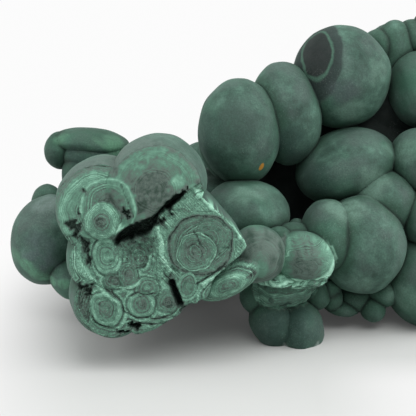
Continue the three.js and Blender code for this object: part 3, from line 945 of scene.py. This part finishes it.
def skin_color(nodes, places, clouds, wisps, nap):
    """Mottled green and grey, deep green painted shade beside other nodules, patches, the scar and the
    stain.
    """
    shade = nodes.plus(nodes.times(clouds, 0.6), nodes.times(wisps, 0.4))
    gap = nodes.stored("gap")
    cloudy_gap = nodes.plus(gap, nodes.times(nodes.math("SUBTRACT", clouds, 0.5), 4.0))

    drift = nodes.add("TexNoise", {"Vector": places, "Scale": 0.2, "Detail": 1.5})
    drift = nodes.vector("SUBTRACT", drift.outputs["Color"], (0.5, 0.5, 0.5))
    warped = nodes.vector("ADD", places, nodes.vector("MULTIPLY", drift, (2.4, 2.4, 2.4)))
    far = nodes.away(warped, SCAR_CENTRE, SCAR_STRETCH)
    scar = nodes.ramp(nodes.math("DIVIDE", far, SCAR_REACH), [
        (radius / SCAR_REACH, color) for radius, color in SCAR_RINGS])
    in_scar = nodes.times(nodes.between(far, 10.4, 9.0, 0.0, 0.95), nodes.stored("scarred"))
    patch = nodes.times(nodes.stored("patch", "Alpha"), nodes.between(wisps, 0.36, 0.56, 0.55, 1.0))
    dust = nodes.between(nodes.noise(places, 0.4, 1.0), 0.58, 0.74, 0.0, 0.06)
    dusty = nodes.between(nodes.noise(places, 9.0, 2.0), 0.46, 0.6)

    skin = nodes.ramp(shade, SKIN_CLOUDS)
    for share, color in (
        (nodes.between(nodes.noise(places, 17.0, 2.0), 0.5, 0.66, 0.0, 0.7), SKIN_GREEN),
        (nodes.between(nodes.noise(places, 12.0, 3.0), 0.42, 0.64, 0.0, 0.55), SKIN_GREY),
        # painted shade: deep green beside other nodules, near black where they meet
        (nodes.between(cloudy_gap, 0.0, 4.8, 0.74, 0.0), PAINTED_CREASE_SHADE),
        (nodes.between(gap, -0.2, 1.0, 0.7, 0.0), PAINTED_SHADE_BLACK),
        # painted shade on the masses behind the nodules
        (nodes.times(nodes.stored("deep"), 0.95), PAINTED_SHADE_BLACK),
        (in_scar, scar),
        (patch, nodes.stored("patch", "Color")),
        (nodes.between(nodes.away(places, STAIN_CENTRE, STAIN_STRETCH), 0.95, 0.6), STAIN_COLOR),
        (nodes.times(dust, dusty), GLINT),
    ):
        skin = nodes.mix(share, skin, color)
    nap_shade = nodes.between(nap, 0.25, 0.75, 0.86, 1.14)
    nap_color = nodes.add("CombineColor", {0: nap_shade, 1: nap_shade, 2: nap_shade})
    return nodes.mix(1.0, skin, nap_color.outputs[0], "MULTIPLY")


def malachite(base):
    """Velvety dark skin, and the ringed pale break."""
    material, nodes = empty_material("malachite")
    places = growth_places(nodes, base)
    clouds = nodes.noise(places, 8.0, 4.0, 0.6)
    wisps = nodes.noise(places, 2.4, 3.0, 0.6)
    nap = nodes.noise(places, 0.45, 2.0)
    skin = skin_color(nodes, places, clouds, wisps, nap)

    # The break: stored tones, with fine rings and grains added to them.
    ring = nodes.stored("ring")
    fibres = nodes.between(nodes.noise(places, 1.4, 2.0), 0.35, 0.62, 0.2, 1.0)
    rings = nodes.math("SUBTRACT", nodes.line_noise(ring, 0.34, 2.0), 0.5)
    grain = nodes.stored("grain")
    fine_rings = nodes.times(nodes.times(rings, nodes.between(grain, 0.05, 0.3, 0.15, 0.95)), fibres)
    grains = nodes.math("SUBTRACT", nodes.noise(places, 0.34, 3.0, 0.65), 0.5)
    grains = nodes.times(nodes.times(grains, 1.5), grain)
    flecks = nodes.between(nodes.noise(places, 0.55, 2.0, 0.7), 0.58, 0.72, 0.0, 0.3)
    flecks = nodes.times(flecks, nodes.between(grain, 0.1, 0.5, 0.0, 1.0))
    tone = nodes.plus(nodes.plus(nodes.stored("tone"), fine_rings), nodes.plus(grains, flecks))
    broken = nodes.ramp(tone, BROKEN_TONES)

    is_broken = nodes.stored("broken")
    color = nodes.mix(is_broken, skin, broken)
    height = nodes.plus(nodes.times(nap, 0.04), nodes.times(wisps, 0.1))
    rough_height = nodes.times(nodes.plus(fine_rings, grains), 0.55)
    height = nodes.plus(height, nodes.times(rough_height, is_broken))
    bump = nodes.add("Bump", {"Height": height, "Strength": 1.0, "Distance": MM})
    shader = nodes.add("BsdfPrincipled", {
        "Base Color": color, "Normal": bump.outputs["Normal"],
        "Roughness": nodes.between(wisps, 0.3, 0.7, 0.72, 0.86), "Specular IOR Level": 0.3,
        "Sheen Weight": nodes.between(is_broken, 0.0, 1.0, 0.07, 0.03), "Sheen Roughness": 0.35,
        "Sheen Tint": (0.62, 1.0, 0.82, 1)})
    nodes.add("OutputMaterial", {"Surface": shader.outputs[0]})
    return material


# ---- Floor, light and camera -------------------------------------------------------------------

FLOOR_SIZE = 6.0
FLOOR_COLOR = (0.5, 0.51, 0.5)
# The sheet fades to white: from where to where in metres from the stone's middle, less steeply from
# front to back, and how white it is at least; even the least is a faint glow, painted light that
# lifts the shadows near the stone.
FADE_START, FADE_END, FADE_STRETCH, LEAST_PAINTED_GLOW = 0.051, 0.097, (1, 0.35, 1), 0.04
WHITE = (0.97, 0.97, 0.97)
TENT_FRONT, TENT_BACK, TENT_SEEN = 0.44, 0.78, 0.97
TARGET = Vector((0, 0, 35))  # what the camera looks at, in growth millimetres
CAMERA_DISTANCE = 310 * MM
CAMERA_RISE = math.radians(14)
LENS, SENSOR = 100.0, 36.0
# Soft lamps: name, place from the stone's middle in metres, size in metres and power in watts.
LAMPS = [
    ("top", (0.12, -0.24, 0.44), 0.45, 2.2),
    ("right", (0.48, 0.02, 0.26), 0.4, 1.7),
    ("left", (-0.45, -0.05, 0.16), 0.4, 1.1),
]


def pale_floor(middle):
    """A white sheet that fades into the white of the light tent, with a painted pool of light at the
    front right.
    """
    bm = bmesh.new()
    bmesh.ops.create_grid(bm, x_segments=1, y_segments=1, size=FLOOR_SIZE / 2)
    floor = object_of(bm, "floor")
    material, nodes = empty_material("white_sheet")
    places = nodes.add("TexCoord").outputs["Object"]
    fade = nodes.away(places, middle, FADE_STRETCH)
    fade = nodes.between(fade, FADE_START, FADE_END, LEAST_PAINTED_GLOW, 1.0)
    # Painted light: it glows whiter at the right and in front.
    across = nodes.add("SeparateXYZ", {0: places})
    right = nodes.between(across.outputs["X"], middle.x, middle.x + 0.03)
    front = nodes.between(across.outputs["Y"], middle.y - 0.035, middle.y - 0.06, 0.0, 0.7)
    fade = nodes.math("MAXIMUM", fade, nodes.times(right, front))
    sheet = nodes.add("BsdfDiffuse", {"Color": (*FLOOR_COLOR, 1)})
    glow = nodes.add("Emission", {"Color": (*WHITE, 1)})
    mixed = nodes.add("MixShader", {0: fade, 1: sheet.outputs[0], 2: glow.outputs[0]})
    nodes.add("OutputMaterial", {"Surface": mixed.outputs[0]})
    floor.data.materials.append(material)
    place_in_scene(floor)
    return floor


def light_tent():
    """White light from all round, strongest from behind and above; the tent is seen as white."""
    world = bpy.data.worlds.new("tent")
    bpy.context.scene.world = world
    world.use_nodes = True
    nodes = Nodes(world.node_tree)
    towards = nodes.add("TexCoord").outputs["Generated"]
    towards = nodes.add("SeparateXYZ", {0: towards})
    behind = nodes.plus(towards.outputs["Y"], nodes.times(towards.outputs["Z"], 0.5))
    strength = nodes.between(behind, -0.7, 0.8, TENT_FRONT, TENT_BACK)
    seen = nodes.add("LightPath").outputs["Is Camera Ray"]
    strength = nodes.plus(strength, nodes.times(seen, nodes.math("SUBTRACT", TENT_SEEN, strength)))
    tent = nodes.add("Background", {"Color": (1, 1, 1, 1), "Strength": strength})
    nodes.add("OutputWorld", {"Surface": tent.outputs[0]})


def aimed(name, data, place, direction):
    """A lamp or a camera that stands at a place and looks in a direction."""
    thing = bpy.data.objects.new(name, data)
    thing.location = place
    thing.rotation_euler = direction.to_track_quat("-Z", "Y").to_euler()
    place_in_scene(thing)
    return thing


def soft_light(name, place, aim, size, power):
    lamp = bpy.data.lights.new(name, "AREA")
    lamp.size = size
    lamp.energy = power
    aimed(name, lamp, place, aim - place)


def camera_at(target):
    camera = bpy.data.cameras.new("camera")
    camera.lens = LENS
    camera.sensor_width = SENSOR
    camera.clip_start = 0.01
    back = Vector((0, -math.cos(CAMERA_RISE), math.sin(CAMERA_RISE)))
    bpy.context.scene.camera = aimed("camera", camera, target + back * CAMERA_DISTANCE, -back)


low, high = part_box(NODE)
BASE = Vector(((low.x + high.x) / 2, (low.y + high.y) / 2, low.z))

stone = make_stone(BASE)
stone.data.materials.clear()
stone.data.materials.append(malachite(BASE))
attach(stone, "root")
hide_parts(NODE)

floor = pale_floor(BASE)
light_tent()
middle = (low + high) / 2
for name, offset, size, power in LAMPS:
    soft_light(name, middle + Vector(offset), middle, size, power)
camera_at(BASE + (TARGET - GROWTH_MIDDLE) * MM)
bpy.context.scene.view_settings.view_transform = "Standard"
